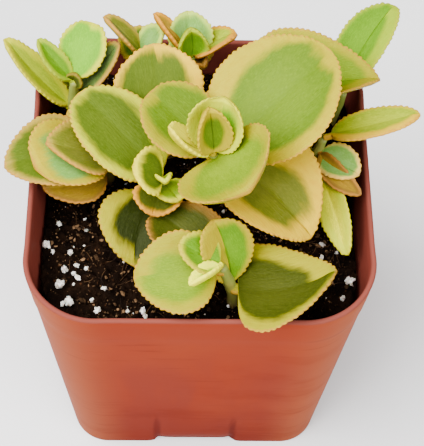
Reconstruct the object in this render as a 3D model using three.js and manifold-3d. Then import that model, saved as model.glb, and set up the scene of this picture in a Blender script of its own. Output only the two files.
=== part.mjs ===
// A variegated stonecrop in a square plastic nursery pot.
// Millimetres, +Z up, the pot's feet stand on z = 0 and the photograph looks along +Y.

import * as THREE from 'three';
import { mergeVertices } from 'three/addons/utils/BufferGeometryUtils.js';
import Module from 'manifold-3d';

const wasm = await Module();
wasm.setup();

// The pot, over its outside
const POT_WIDTH = 56;
const POT_BASE_WIDTH = 45.5;
const POT_HEIGHT = 58.2;
const CORNER_TOP = 11.8;
const CORNER_BASE = 6.6;
const WALL = 0.9;
const LIP = 0.3;
const STEP_BELOW_RIM = 8;
const STEP_DEPTH = 0.15;
const FLOOR_UNDERSIDE = 1.5;
const FLOOR_TOP = 2.6;
const FOOT_WIDTH = 1.4;
const NOTCH_HEIGHT = 1.2;
const NOTCH_DEPTH = 0.6;
const DRAIN_RADIUS = 2.6;
const DRAIN_SPACING = 24;
const DRAIN_SIDES = 12;

// The soil in it
const CLEARANCE = 0.35;
const SOIL_LEVEL = 51;
const SOIL_HOLLOW = 4;
const SOIL_RINGS = 12;
const CRUMB = 0.45;
const PERLITE_SHOWS = 0.2;

// The stems and leaves
const STEM_RADIUS = 1;
const STEM_SIDES = 7;
const STEM_STEPS = 5;
const STEM_CLEARANCE = 0.4;
const BLADE_MIDDLE = 1.3;
const BLADE_MARGIN = 0.65;
const SMALL_MIDDLE = 0.6;
const MIDDLE_PER_WIDTH = 0.08;
const STALK_SHARE = 0.08;
const STALK_WIDTH = 0.15;
const STALK_FADE = 0.4;
const STALK_LEAST = 0.5;
const TIP_LEAST = 0.3;
const INWARD_MOST = 0.6; // a thin end's share that the fold's slant may take up
const LARGE = { width: 10, pitch: 2.1, tooth: 0.45 };
const SMALL = { pitch: 2.2, tooth: 0.3 };
const CUPPED_WIDTH = 7.4;
const TEETH_LEAST = 3;
const TEETH_MOST = 11;

// What each slot looks like
const FINISHES = {
  terracotta_plastic: { color: 0xc4684a, roughness: 0.42, metalness: 0 },
  soil: { color: 0x2a1c14, roughness: 0.95, metalness: 0 },
  leaf: { color: 0x9db467, roughness: 0.5, metalness: 0 },
};

const radians = THREE.MathUtils.degToRad;
const mix = THREE.MathUtils.lerp;
const finish = (slot) => new THREE.MeshStandardMaterial(FINISHES[slot]);

// Twice six places round a square with rounded corners, for each of its four sides: places
// along the straight stretch, with the two edges of the notch among them, then the corner.
const STRAIGHT_PLACES = [-1, -0.46, -0.41, 0, 0.41, 0.46];
const CORNER_STEPS = 6;
const PLACES_A_SIDE = STRAIGHT_PLACES.length + CORNER_STEPS;
const PLACES = 4 * PLACES_A_SIDE;

function squarePlace(index, half, corner) {
  const side = Math.floor(index / PLACES_A_SIDE);
  const step = index % PLACES_A_SIDE;
  const straight = half - corner;
  const place = new THREE.Vector2(half, 0);
  if (step < STRAIGHT_PLACES.length) {
    place.y = STRAIGHT_PLACES[step] * straight;
  } else {
    const angle = ((step - STRAIGHT_PLACES.length) / CORNER_STEPS) * (Math.PI / 2);
    place.set(straight + corner * Math.cos(angle), straight + corner * Math.sin(angle));
  }
  return place.rotateAround(new THREE.Vector2(), (side * Math.PI) / 2);
}

const inNotch = (index) => {
  const step = index % PLACES_A_SIDE;
  return step > 1 && step < 5;
};

// The pot's half width and corner radius at a height
const share = (z) => z / POT_HEIGHT;
const potHalf = (z) => mix(POT_BASE_WIDTH, POT_WIDTH, share(z)) / 2;
const potCorner = (z) => mix(CORNER_BASE, CORNER_TOP, share(z));

// A turned solid whose rings are drawn out to rounded squares. A profile point is
// [half width, height, corner radius], and shape may still move a point.
function squareLathe(profile, shape = (point) => point) {
  const outline = profile.map(([half, z]) => new THREE.Vector2(half, z));
  const geometry = new THREE.LatheGeometry(outline, PLACES);
  const position = geometry.attributes.position;
  for (let i = 0; i < position.count; i += 1) {
    const index = Math.floor(i / profile.length) % PLACES;
    const [half, z, corner] = profile[i % profile.length];
    const place = squarePlace(index, half, corner);
    const point = shape(new THREE.Vector3(place.x, place.y, z), index, i % profile.length);
    position.setXYZ(i, point.x, point.y, point.z);
  }
  return geometry;
}

// A closed solid from a geometry, with its faces turned outwards
function solid(geometry) {
  const bare = geometry.clone();
  bare.deleteAttribute('normal');
  bare.deleteAttribute('uv');
  const merged = mergeVertices(bare, 1e-4);
  const position = merged.attributes.position;
  const corners = [0, 1, 2].map(() => new THREE.Vector3());
  const triangles = [];
  let volume = 0;
  for (let i = 0; i < merged.index.count; i += 3) {
    const triangle = [0, 1, 2].map((k) => merged.index.getX(i + k));
    if (new Set(triangle).size < 3) continue;
    triangles.push(triangle);
    triangle.forEach((vertex, k) => corners[k].fromBufferAttribute(position, vertex));
    volume += corners[0].dot(corners[1].clone().cross(corners[2]));
  }
  const facing = volume > 0 ? triangles : triangles.map(([a, b, c]) => [a, c, b]);
  return new wasm.Manifold(new wasm.Mesh({
    numProp: 3,
    vertProperties: new Float32Array(position.array),
    triVerts: new Uint32Array(facing.flat()),
  }));
}

// The outer body of a joined solid: what fusing seals inside it is filled
function wholeBody(joined) {
  const bodies = joined.decompose();
  return bodies.reduce((best, body) => (body.volume() > best.volume() ? body : best));
}

function named(name, body, slot) {
  const mesh = body.getMesh();
  const geometry = new THREE.BufferGeometry();
  geometry.setAttribute('position', new THREE.BufferAttribute(mesh.vertProperties, 3));
  geometry.setIndex(new THREE.BufferAttribute(mesh.triVerts, 1));
  geometry.computeVertexNormals();
  const part = new THREE.Mesh(geometry, finish(slot));
  part.name = name;
  return part;
}

// The pot: a tapering square shell with a small step below its rim, four corner feet, a
// notch in the foot at the middle of each side, and holes that drain its floor
function pot() {
  const outside = (z, inset = 0) => [potHalf(z) - inset, z, potCorner(z) - inset];
  const stepHeight = POT_HEIGHT - STEP_BELOW_RIM;
  const underside = potHalf(0) - FOOT_WIDTH;
  const profile = [
    [0, FLOOR_UNDERSIDE, 0],
    [underside, FLOOR_UNDERSIDE, CORNER_BASE - FOOT_WIDTH],
    [underside, 0, CORNER_BASE - FOOT_WIDTH],
    outside(0),
    outside(NOTCH_HEIGHT),
    outside(2 * NOTCH_HEIGHT),
    outside(stepHeight - STEP_DEPTH, STEP_DEPTH),
    outside(stepHeight),
    outside(POT_HEIGHT - LIP),
    outside(POT_HEIGHT, LIP),
    outside(POT_HEIGHT, WALL - LIP),
    outside(POT_HEIGHT - LIP, WALL),
    outside(stepHeight, WALL + STEP_DEPTH),
    outside(FLOOR_TOP, WALL),
    [0, FLOOR_TOP, 0],
  ];
  const footRows = [2, 3];
  const recessedRows = [3, 4];
  const shell = squareLathe(profile, (point, index, row) => {
    if (!inNotch(index)) return point;
    if (footRows.includes(row)) point.z = NOTCH_HEIGHT;
    if (recessedRows.includes(row)) {
      const across = Math.abs(point.x) > Math.abs(point.y) ? 'x' : 'y';
      point[across] -= Math.sign(point[across]) * NOTCH_DEPTH;
    }
    return point;
  });
  let body = solid(shell);
  const half = DRAIN_SPACING / 2;
  for (const [x, y] of [[0, 0], [half, half], [-half, half], [-half, -half], [half, -half]]) {
    const hole = new THREE.CylinderGeometry(DRAIN_RADIUS, DRAIN_RADIUS, 2 * FLOOR_TOP, DRAIN_SIDES);
    hole.rotateX(Math.PI / 2).translate(x, y, (FLOOR_UNDERSIDE + FLOOR_TOP) / 2);
    body = body.subtract(solid(hole));
  }
  return named('pot', body, 'terracotta_plastic');
}

// The soil: heaped towards the back right corner, hollow at the left, and crumbly
const HEAPS = [
  { x: 21, y: 21, radius: 10, height: 2.2 },
  { x: -24, y: 1, radius: 9, height: -2.6 },
  { x: -18, y: -22, radius: 8, height: 1.2 },
  { x: 21, y: -20, radius: 8, height: 0.8 },
];

function soilHeight(x, y) {
  const heaps = HEAPS.reduce((sum, heap) => {
    const away = Math.hypot(x - heap.x, y - heap.y) / heap.radius;
    return sum + heap.height * Math.exp(-away * away);
  }, 0);
  const crumbs = Math.sin(1.9 * x + 0.7 * y) * Math.sin(2.3 * y - 0.5 * x)
    + 0.6 * Math.sin(4.1 * x - 1.3 * y) * Math.cos(3.7 * y + 0.9 * x);
  return SOIL_LEVEL + heaps + CRUMB * crumbs;
}

// White lumps in the soil: x, y and radius
const PERLITE = [
  [-23.4, -5, 0.9], [-25, -10, 1], [-21.1, -11.3, 0.9], [-19.9, -14, 0.8],
  [-21.9, -14.6, 0.8], [-19.6, -16.7, 0.9], [-22.4, -18, 1.1], [-20.8, -21.2, 1.1],
  [-16.2, -22.6, 0.9], [-9, -22.4, 1], [-15.3, -18.7, 0.8], [23.6, 18.8, 1.4],
  [24.3, -16.7, 1.3], [24.5, -8.3, 0.9], [20, -12.2, 0.8], [20.2, -9.6, 0.8],
];

function soil(stems) {
  const innerHalf = (z) => potHalf(z) - WALL - STEP_DEPTH - CLEARANCE;
  const innerCorner = (z) => potCorner(z) - WALL - STEP_DEPTH - CLEARANCE;
  const bottom = FLOOR_TOP + CLEARANCE;
  const edge = innerHalf(SOIL_LEVEL - SOIL_HOLLOW);
  const profile = [[0, SOIL_LEVEL, 0]];
  for (let ring = 1; ring <= SOIL_RINGS; ring += 1) {
    const part = ring / SOIL_RINGS;
    profile.push([edge * part, SOIL_LEVEL, innerCorner(SOIL_LEVEL) * part]);
  }
  profile.push([innerHalf(bottom), bottom, innerCorner(bottom)], [0, bottom, 0]);
  const heap = squareLathe(profile, (point, index, row) => {
    if (row <= SOIL_RINGS) point.z = soilHeight(point.x, point.y);
    return point;
  });
  let body = solid(heap);
  PERLITE.forEach(([x, y, radius], count) => {
    const lump = new THREE.IcosahedronGeometry(radius, 0);
    lump.scale(1, 0.8, 0.7).rotateZ(count).translate(x, y, soilHeight(x, y) + PERLITE_SHOWS * radius);
    body = body.add(solid(lump));
  });
  for (const stem of stems) {
    body = body.subtract(solid(stemGeometry(stem, STEM_CLEARANCE)));
  }
  return named('soil', wholeBody(body), 'soil');
}

// A stem's run, and a round bar along it. A clearance makes it the hole that it stands in.
function stemGeometry(points, clearance = 0) {
  const [foot, ...rest] = points.map((point) => new THREE.Vector3(...point));
  const down = foot.clone().sub(rest[0]).normalize();
  const run = [foot.clone().addScaledVector(down, clearance), ...rest];
  const radius = STEM_RADIUS + clearance / Math.cos(Math.PI / STEM_SIDES);
  const section = new THREE.Shape();
  for (let i = 0; i < STEM_SIDES; i += 1) {
    const angle = (i / STEM_SIDES) * 2 * Math.PI;
    section[i ? 'lineTo' : 'moveTo'](radius * Math.cos(angle), radius * Math.sin(angle));
  }
  return new THREE.ExtrudeGeometry(section, {
    steps: STEM_STEPS,
    bevelEnabled: false,
    extrudePath: new THREE.CatmullRomCurve3(run),
  });
}

// The place on a stem's middle line at a height
function stemPlace(points, height) {
  const above = points.findIndex((point) => point[2] >= height);
  const last = above < 1 ? points.length - 1 : above;
  const [low, high] = [points[last - 1], points[last]];
  const part = (height - low[2]) / (high[2] - low[2]);
  return new THREE.Vector3(...low).lerp(new THREE.Vector3(...high), part);
}

// The share of the half width along a blade: t is 0 at the base and 1 at the tip. taper
// rounds the base, and a small blunt gives a broad, short tip.
function outline(t, taper, blunt) {
  const along = THREE.MathUtils.clamp((t - STALK_SHARE) / (1 - STALK_SHARE), 0, 1);
  const widest = taper / (taper + blunt);
  return (along / widest) ** taper * ((1 - along) / (1 - widest)) ** blunt;
}

// One leaf: a flat box of cells bent to the blade's form. It leaves the stem at the
// height "at", towards a bearing (from +X, anticlockwise) and rising by "rise" degrees.
// roll turns it about its midrib, fold and cup lift its two halves, arch bows the midrib up
// and sweep to the side.
function leafGeometry(stem, {
  at, bearing, rise, length, width,
  roll = 0, fold = 5, cup = 20, arch = 0, taper = 0.5, blunt = 0.6, sweep = 0,
}) {
  const base = stemPlace(stem, at);
  const level = Math.cos(radians(rise));
  const along = new THREE.Vector3(
    level * Math.cos(radians(bearing)),
    level * Math.sin(radians(bearing)),
    Math.sin(radians(rise)),
  );
  const up = new THREE.Vector3(0, 0, 1).addScaledVector(along, -along.z).normalize();
  up.applyAxisAngle(along, -radians(roll));
  const across = up.clone().cross(along);
  const { pitch, tooth } = width > LARGE.width ? LARGE : SMALL;
  const columns = width > CUPPED_WIDTH ? 4 : 2;
  const rows = 2 * THREE.MathUtils.clamp(Math.round(length / pitch), TEETH_LEAST, TEETH_MOST);
  const middle = Math.min(BLADE_MIDDLE, SMALL_MIDDLE + MIDDLE_PER_WIDTH * width);
  const stalkEnd = 2 * STALK_SHARE;
  const geometry = new THREE.BoxGeometry(2, 1, 2, columns, rows, 1);
  const position = geometry.attributes.position;
  for (let i = 0; i < position.count; i += 1) {
    const u = position.getX(i);
    const t = position.getY(i) + 0.5;
    const face = position.getZ(i);
    const row = Math.round(t * rows);
    const side = Math.sign(u);
    const blade = outline(t, taper, blunt) * (width / 2);
    const stalk = STALK_WIDTH * (width / 2) * THREE.MathUtils.clamp(1 - t / STALK_FADE, 0, 1);
    let half = Math.max(blade, stalk, t < stalkEnd ? STALK_LEAST : TIP_LEAST);
    if (Math.abs(u) === 1 && row % 2 === 1 && t > stalkEnd) half += tooth;
    const reach = half * Math.abs(u);
    const lift = radians(fold + (cup * Math.abs(u)) / 2);
    const bow = 4 * length * t * (1 - t);
    const thick = mix(middle, BLADE_MARGIN, u * u) / 2;
    const point = base.clone().addScaledVector(along, length * t);
    const inward = Math.min(thick * Math.sin(lift), INWARD_MOST * reach * Math.cos(lift));
    point.addScaledVector(across, reach * Math.cos(lift) * side + sweep * bow);
    point.addScaledVector(up, reach * Math.sin(lift) + arch * bow);
    point.addScaledVector(across, -inward * side * face);
    point.addScaledVector(up, Math.cos(lift) * thick * face);
    position.setXYZ(i, point.x, point.y, point.z);
  }
  return geometry;
}

// The leafy stems: the middle line of each, from its foot in the soil to its top, and the
// leaves on it, from the top down
const SHOOTS = {
  shoot_middle: {
    stem: [[3, 4, 46], [2.4, 0, 62], [1.6, -7, 73.5]],
    leaves: [
      { at: 73, bearing: 109, rise: 73, length: 9, width: 7.5, fold: 15, cup: 60, arch: -0.05 },
      { at: 72.5, bearing: 176, rise: 44, length: 9.5, width: 5.5, roll: -10, fold: 25, arch: -0.15 },
      {
        at: 72, bearing: 73, rise: 62, length: 10, width: 11,
        fold: 10, cup: 60, arch: -0.05, blunt: 0.4,
      },
      { at: 71, bearing: -65, rise: 28, length: 13.4, width: 17.5, roll: -22, cup: 40, blunt: 0.35 },
      {
        at: 70, bearing: 140, rise: 20, length: 14, width: 12.5,
        cup: 15, arch: 0.03, blunt: 0.5, sweep: 0.02,
      },
      { at: 67, bearing: 37, rise: 24, length: 24.7, width: 21.3, arch: 0.05, sweep: -0.045 },
      {
        at: 65, bearing: -39, rise: -12, length: 20, width: 19,
        fold: 15, arch: 0.08, blunt: 0.7, sweep: 0.03,
      },
      { at: 61, bearing: -92, rise: 10, length: 5, width: 5, fold: 10, arch: 0.05 },
    ],
  },
  shoot_middle_back: {
    stem: [[-5, 9, 46], [-6, 6.5, 64]],
    leaves: [
      {
        at: 63, bearing: 101, rise: 38, length: 12.7, width: 14.8,
        roll: 9, cup: 15, arch: 0.05, blunt: 0.7,
      },
      { at: 60, bearing: 10, rise: 15, length: 6.5, width: 6, fold: 10, arch: 0.05 },
      { at: 56, bearing: -146, rise: 0, length: 3.5, width: 7, fold: 10, arch: 0.03 },
    ],
  },
  shoot_middle_left: {
    stem: [[-6, 2, 46], [-6, -6.5, 65.5]],
    leaves: [
      { at: 65, bearing: -78, rise: 53, length: 4, width: 3.5, fold: 25, cup: 40 },
      { at: 64.4, bearing: 176, rise: 38, length: 6, width: 9, arch: 0.03 },
      { at: 63, bearing: -59, rise: 12, length: 5, width: 5.5, fold: 10 },
      { at: 61.5, bearing: 137.5, rise: 20, length: 20, width: 13.5, cup: 15, arch: 0.06, blunt: 0.55 },
      { at: 62, bearing: -106, rise: -5, length: 6, width: 8, fold: 8, arch: 0.03 },
      {
        at: 57, bearing: -109, rise: -12, length: 14, width: 14.5,
        roll: 6, fold: 8, cup: 8, arch: 0.06, sweep: -0.08,
      },
    ],
  },
  shoot_front: {
    stem: [[5.5, -20, 46], [5.2, -20.5, 55], [3.1, -20, 62.5]],
    leaves: [
      {
        at: 62.5, bearing: -134, rise: 20, length: 7.5, width: 4,
        roll: -20, fold: 30, cup: 40, sweep: 0.05,
      },
      { at: 62, bearing: 167, rise: 30, length: 8, width: 7.5, fold: 8, cup: 30, arch: -0.03 },
      {
        at: 61, bearing: -176, rise: -4, length: 14, width: 13.5,
        roll: 15, arch: 0.04, blunt: 0.7, sweep: 0.02,
      },
      {
        at: 58, bearing: 136, rise: 5, length: 16.5, width: 11.5,
        fold: 8, arch: 0.03, blunt: 0.5, sweep: -0.04,
      },
      {
        at: 56, bearing: 118, rise: 57, length: 12.5, width: 9.8,
        fold: 20, taper: 0.7, blunt: 0.4, sweep: -0.03,
      },
      {
        at: 56, bearing: 1, rise: 18, length: 17, width: 16.8,
        roll: 6.5, cup: 15, arch: 0.06, taper: 0.25, blunt: 0.8, sweep: -0.18,
      },
    ],
  },
  shoot_right: {
    stem: [[19.5, 5, 46], [19, 2.5, 60], [20, 3.5, 64]],
    leaves: [
      { at: 63.5, bearing: 8, rise: 13, length: 16, width: 7, roll: 15, arch: 0.03, sweep: -0.05 },
      {
        at: 61, bearing: -51, rise: -6, length: 10.5, width: 4.5,
        roll: -25, fold: 25, arch: 0.05, sweep: -0.08,
      },
      { at: 60.5, bearing: -41, rise: 10, length: 8.5, width: 6.5, roll: -15, fold: 10 },
      {
        at: 58, bearing: -74, rise: -10, length: 17.5, width: 5.7,
        roll: -40, fold: 10, arch: 0.03, sweep: 0.04,
      },
      { at: 57, bearing: 165, rise: 5, length: 7, width: 6.5, fold: 10, arch: 0.05 },
    ],
  },
  shoot_middle_right: {
    stem: [[6, 13, 46], [7, 11, 64]],
    leaves: [
      {
        at: 62, bearing: 4, rise: 12, length: 23, width: 21,
        fold: 38, cup: 10, arch: 0.03, taper: 0.35, blunt: 0.8,
      },
      { at: 60, bearing: 178, rise: 10, length: 6, width: 6, fold: 10, arch: 0.05 },
    ],
  },
  shoot_right_back: {
    stem: [[22, 15, 46], [24, 15, 61]],
    leaves: [
      { at: 60, bearing: 57, rise: 19, length: 18, width: 9.2, fold: 20, arch: 0.03, sweep: 0.05 },
      { at: 57, bearing: 150, rise: 12, length: 7, width: 6, fold: 10, arch: 0.05 },
    ],
  },
  shoot_back: {
    stem: [[-1, 19.5, 46], [-1.6, 17.5, 67]],
    leaves: [
      { at: 66.5, bearing: 102, rise: 81, length: 6, width: 7, fold: 15, cup: 60, arch: -0.05 },
      { at: 65.5, bearing: 100, rise: 50, length: 8, width: 8, fold: 10, cup: 30 },
      {
        at: 65.5, bearing: 155, rise: 49, length: 10.5, width: 4.5,
        roll: -20, fold: 15, cup: 30, sweep: 0.05,
      },
      { at: 65.5, bearing: 15, rise: 28, length: 8.7, width: 6.8, roll: 20, fold: 10, arch: 0.03 },
      { at: 63.5, bearing: -49, rise: 41, length: 4.5, width: 6, fold: 25, cup: 40 },
      { at: 61, bearing: 80, rise: 10, length: 8, width: 6.5, fold: 10, arch: 0.05 },
    ],
  },
  shoot_back_left: {
    stem: [[-10, 19.3, 46], [-10, 18.8, 65.5]],
    leaves: [
      {
        at: 64.5, bearing: 156, rise: 46, length: 9.5, width: 5.5,
        roll: -25, fold: 15, arch: 0.05, sweep: 0.08,
      },
      { at: 64.5, bearing: 25, rise: 52, length: 6.8, width: 5.6, fold: 10 },
      { at: 61, bearing: 100, rise: 12, length: 8, width: 7, fold: 10, arch: 0.05 },
      { at: 58, bearing: -105, rise: 5, length: 5.5, width: 6, fold: 10, arch: 0.05 },
    ],
  },
  shoot_left_back: {
    stem: [[-21.5, 13.5, 46], [-21.5, 14.5, 55], [-21, 15, 63]],
    leaves: [
      { at: 62, bearing: 70, rise: 34, length: 10.5, width: 8.1, arch: 0.03, blunt: 0.45 },
      { at: 62, bearing: 144, rise: 40, length: 9.5, width: 4.5, fold: 15, cup: 30, sweep: 0.05 },
      { at: 61, bearing: 71, rise: 74, length: 3, width: 4, fold: 15, cup: 30 },
      { at: 58, bearing: 35, rise: 40, length: 12.5, width: 6, fold: 10 },
      { at: 56, bearing: -60, rise: 5, length: 5.5, width: 5, fold: 10, arch: 0.05 },
      {
        at: 55, bearing: 151, rise: 41, length: 17, width: 6.5,
        roll: -10, fold: 20, arch: -0.03, sweep: 0.03,
      },
    ],
  },
  shoot_left: {
    stem: [[-15, 4, 46], [-16, 3, 61]],
    leaves: [
      {
        at: 59.5, bearing: -162, rise: 33, length: 11, width: 12,
        fold: 8, arch: 0.05, blunt: 0.8, sweep: 0.15,
      },
      { at: 59, bearing: -164, rise: 7, length: 16.5, width: 14.5, fold: 6, arch: 0.05, blunt: 0.7 },
      { at: 58, bearing: -151, rise: 22, length: 13.2, width: 14.5, fold: 6, arch: 0.05, blunt: 0.4 },
      { at: 56, bearing: -150, rise: 0, length: 11.5, width: 9.5, fold: 6, arch: 0.05, sweep: 0.2 },
      { at: 57, bearing: 60, rise: 10, length: 6.5, width: 6, fold: 10, arch: 0.05 },
    ],
  },
};

function shoot(name, { stem, leaves }) {
  const bar = solid(stemGeometry(stem));
  const joined = leaves.reduce((body, leaf) => body.add(solid(leafGeometry(stem, leaf))), bar);
  return named(name, wholeBody(joined), 'leaf');
}

// Everything together, with the middle of its floor area over the origin
const plant = new THREE.Group();
plant.add(pot(), soil(Object.values(SHOOTS).map(({ stem }) => stem)));
for (const [name, parts] of Object.entries(SHOOTS)) {
  plant.add(shoot(name, parts));
}
const middle = new THREE.Box3().setFromObject(plant).getCenter(new THREE.Vector3());
plant.position.set(-middle.x, -middle.y, 0);

export default plant;
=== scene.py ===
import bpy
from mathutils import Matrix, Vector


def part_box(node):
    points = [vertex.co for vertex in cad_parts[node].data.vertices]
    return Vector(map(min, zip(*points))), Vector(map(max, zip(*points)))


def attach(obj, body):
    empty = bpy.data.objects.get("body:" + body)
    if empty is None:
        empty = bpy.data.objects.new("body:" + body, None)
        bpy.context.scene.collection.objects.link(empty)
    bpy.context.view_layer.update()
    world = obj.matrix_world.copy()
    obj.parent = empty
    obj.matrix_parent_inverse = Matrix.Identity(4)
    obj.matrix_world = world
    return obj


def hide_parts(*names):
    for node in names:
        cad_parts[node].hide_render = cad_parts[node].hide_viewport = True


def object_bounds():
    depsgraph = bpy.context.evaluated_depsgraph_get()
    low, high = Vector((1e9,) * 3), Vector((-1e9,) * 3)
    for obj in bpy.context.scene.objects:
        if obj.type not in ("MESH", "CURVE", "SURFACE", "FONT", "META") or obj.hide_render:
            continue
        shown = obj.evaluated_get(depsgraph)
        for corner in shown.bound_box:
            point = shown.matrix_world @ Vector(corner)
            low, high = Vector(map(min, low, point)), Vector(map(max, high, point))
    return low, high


bl_info = {
    "name": "Potted stonecrop",
    "version": (1, 0, 0),
    "blender": (4, 5, 0),
    "location": "3D View > Sidebar > Stonecrop",
    "description": "A variegated stonecrop in a square nursery pot, dressed round its packed solids",
    "category": "Add Mesh",
}

import math
import random

import bmesh
import bpy
from bpy.props import FloatProperty, FloatVectorProperty, IntProperty, PointerProperty
from bpy.types import Operator, Panel, PropertyGroup
from mathutils import Euler, Matrix, Vector, noise

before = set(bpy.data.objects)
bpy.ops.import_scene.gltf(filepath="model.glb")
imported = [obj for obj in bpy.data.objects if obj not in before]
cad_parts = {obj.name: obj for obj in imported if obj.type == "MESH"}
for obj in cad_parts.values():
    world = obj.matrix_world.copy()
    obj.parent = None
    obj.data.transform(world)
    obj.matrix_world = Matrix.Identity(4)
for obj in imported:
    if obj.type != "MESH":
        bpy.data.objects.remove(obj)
CAD_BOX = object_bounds()

MM = 0.001
ROOT = "root"

# Where the pot stands: the solids' own origin is under the middle of the whole plant
POT_LOW, POT_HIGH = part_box("pot")
POT_CENTRE = Vector(((POT_LOW.x + POT_HIGH.x) / 2, (POT_LOW.y + POT_HIGH.y) / 2, 0))

# The pot in millimetres, as in its solid
POT_TOP = 56
POT_BASE = 45.5
POT_HEIGHT = 58.2
CORNER_TOP = 11.8
CORNER_BASE = 6.6
WALL = 0.9
STEP_HEIGHT = 50.2
STEP_DEPTH = 0.15
FLOOR_UNDERSIDE = 1.5
FLOOR_TOP = 2.6
FOOT_WIDTH = 1.4
FOOT_EDGE = 0.15
NOTCH_HALF = 7.0
NOTCH_HEIGHT = 1.2
NOTCH_DEPTH = 0.6
NOTCH_SOFT = 0.5
NOTCH_FADE = 3.2
CREASE_WIDTH = 0.9
CREASE_HEIGHT = 17
CREASE_DEPTH = 0.3
DRAIN_RADIUS = 2.6
DRAIN_HALF = 12
DRAIN_SIDES = 28
WAVE_SCALE = 0.11
POT_SIDES = 256

# The heights in millimetres over which the wall's tone changes: the lip's painted highlight, painted light
# towards the top, painted shade towards the foot, and the smudges
LIP_HIGHLIGHT_BAND = (POT_HEIGHT - 1, POT_HEIGHT - 0.3)
UPPER_LIGHT_BAND = (30, 50)
FOOT_SHADE_BAND = (30, 2)
SMUDGE_BAND = (48, 36)

# The soil in millimetres: a heap is x, y, radius and height, and a lump of perlite x, y and radius
SOIL_LEVEL = 51
SOIL_HOLLOW = 4
SOIL_GAP = 0.35
SOIL_INSET = WALL + STEP_DEPTH + SOIL_GAP
SOIL_CELLS = 150
CRUMB = 0.45
ROUGH = 1.0
ROUGH_MEAN = 0.55
ROUGH_SCALE = 0.55
PITS = 0.5
PITS_SCALE = 2.1
CRUMB_MARGIN = 0.9
CRUMB_LEAST = 0.1
CRUMB_SPREAD = 0.36
SPECK_LEAST = 0.08
SPECK_SPREAD = 0.24
LUMP_SHARE = 0.62
LUMP_DENTS = 1.6
FIBRE_MARGIN = 2.4
FIBRE_LENGTHS = (0.8, 4.0)
FIBRE_BENDS = (-0.35, 0.35)
FIBRE_THICKNESSES = (0.03, 0.07)
FIBRE_LIFTS = (0.3, 0.8)
FIBRE_CURL = 0.12
FIBRE_ROWS = 6
FIBRE_SIDES = 5
HEAPS = ((21, 21, 10, 2.2), (-24, 1, 9, -2.6), (-18, -22, 8, 1.2), (21, -20, 8, 0.8))
PERLITE = (
    (-23.4, -5, 0.9), (-25, -10, 1), (-24, -11, 0.6), (-21.1, -11.3, 0.8), (-19.9, -14, 0.7),
    (-21.9, -14.6, 0.8), (-20.3, -15.5, 0.6), (-19.6, -16.7, 0.8), (-18.3, -14.4, 0.5),
    (-22.4, -18, 1.1), (-20.8, -21.2, 1), (-21.8, -21.4, 0.6), (-16.2, -22.6, 0.8),
    (-9, -22.4, 0.9), (-8.6, -23.2, 0.6), (-15.3, -18.7, 0.7), (-17.2, -20.8, 0.6),
    (23.6, 18.8, 1.5), (24.3, -16.7, 1.3), (24.3, -8.3, 0.9), (20, -12.2, 0.7),
    (20.2, -9.6, 0.8), (22.5, -11, 0.5), (23, -20, 0.6), (12, -23, 0.6), (3, -24, 0.5),
)

# The blades in millimetres, as in their solids
BLADE_MIDDLE = 1.3
BLADE_MARGIN = 0.65
SMALL_MIDDLE = 0.6
MIDDLE_PER_WIDTH = 0.08
STALK_SHARE = 0.08
STALK_WIDTH = 0.15
STALK_FADE = 0.4
STALK_LEAST = 0.5
TIP_LEAST = 0.12
BLADE_SIDES = 44
ROW_STEP = 0.17
ROWS_LEAST = 24
HANDFUL = 60
ARC_SAMPLES = 300
SOFT_PER_WIDTH = 0.07
SOFT_LEAST = 0.3
SOFT_MOST = 0.9
RIPPLE = 0.22
RIPPLE_ALONG = 0.28
RIPPLE_ACROSS = 1.3
MIDRIB_WIDTH = 0.5
MIDRIB_TINT = 0.35
MIDRIB_FULL = 14
TEETH_FULL = 8
TOOTH_USUAL = 0.75
TOOTH_UNEVEN = 0.6
TOOTH_LEAN = 0.65
TEETH_APART = 0.3
ROUNDNESS = 2.5
SLOPE_STEP = 0.004
CROWDING = 0.12

# The stems in millimetres
STEM_ROWS = 40
STEM_SIDES = 20
STEM_EASE = 1.2
STEM_THINS_FROM = 58
STEM_THINNING = 0.25
STEM_GREEN_FROM = 62
STEM_BROWN_TO = 52
STEM_PATCHY = 8
KNOT_BAND = (53, 55)
KNOT_HALF = 0.8
KNOT_SWELL = 0.1

# The camera of the photograph: 424 by 446 pixels, looking down on the pot's front
PHOTO_HEIGHT = 446
FOCAL_PIXELS = 1411
SENSOR = 36
CAMERA_ELEVATION = math.radians(58.3)
CAMERA_YAW = math.radians(3.0)
CAMERA_ROLL = math.radians(3.1)
CAMERA_RIGHT = 2.38
CAMERA_UP = 22.3
CAMERA_DISTANCE = 280.5


def shade(code):
    """The linear colour of a six-figure web colour."""
    parts = [int(code[i:i + 2], 16) / 255 for i in (0, 2, 4)]
    return tuple(p / 12.92 if p <= 0.04045 else ((p + 0.055) / 1.055) ** 2.4 for p in parts)


def mix(low, high, part):
    return low + (high - low) * part


def clamp(value, low=0.0, high=1.0):
    return min(max(value, low), high)


def smooth(value, low, high):
    part = clamp((value - low) / (high - low))
    return part * part * (3 - 2 * part)


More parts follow.
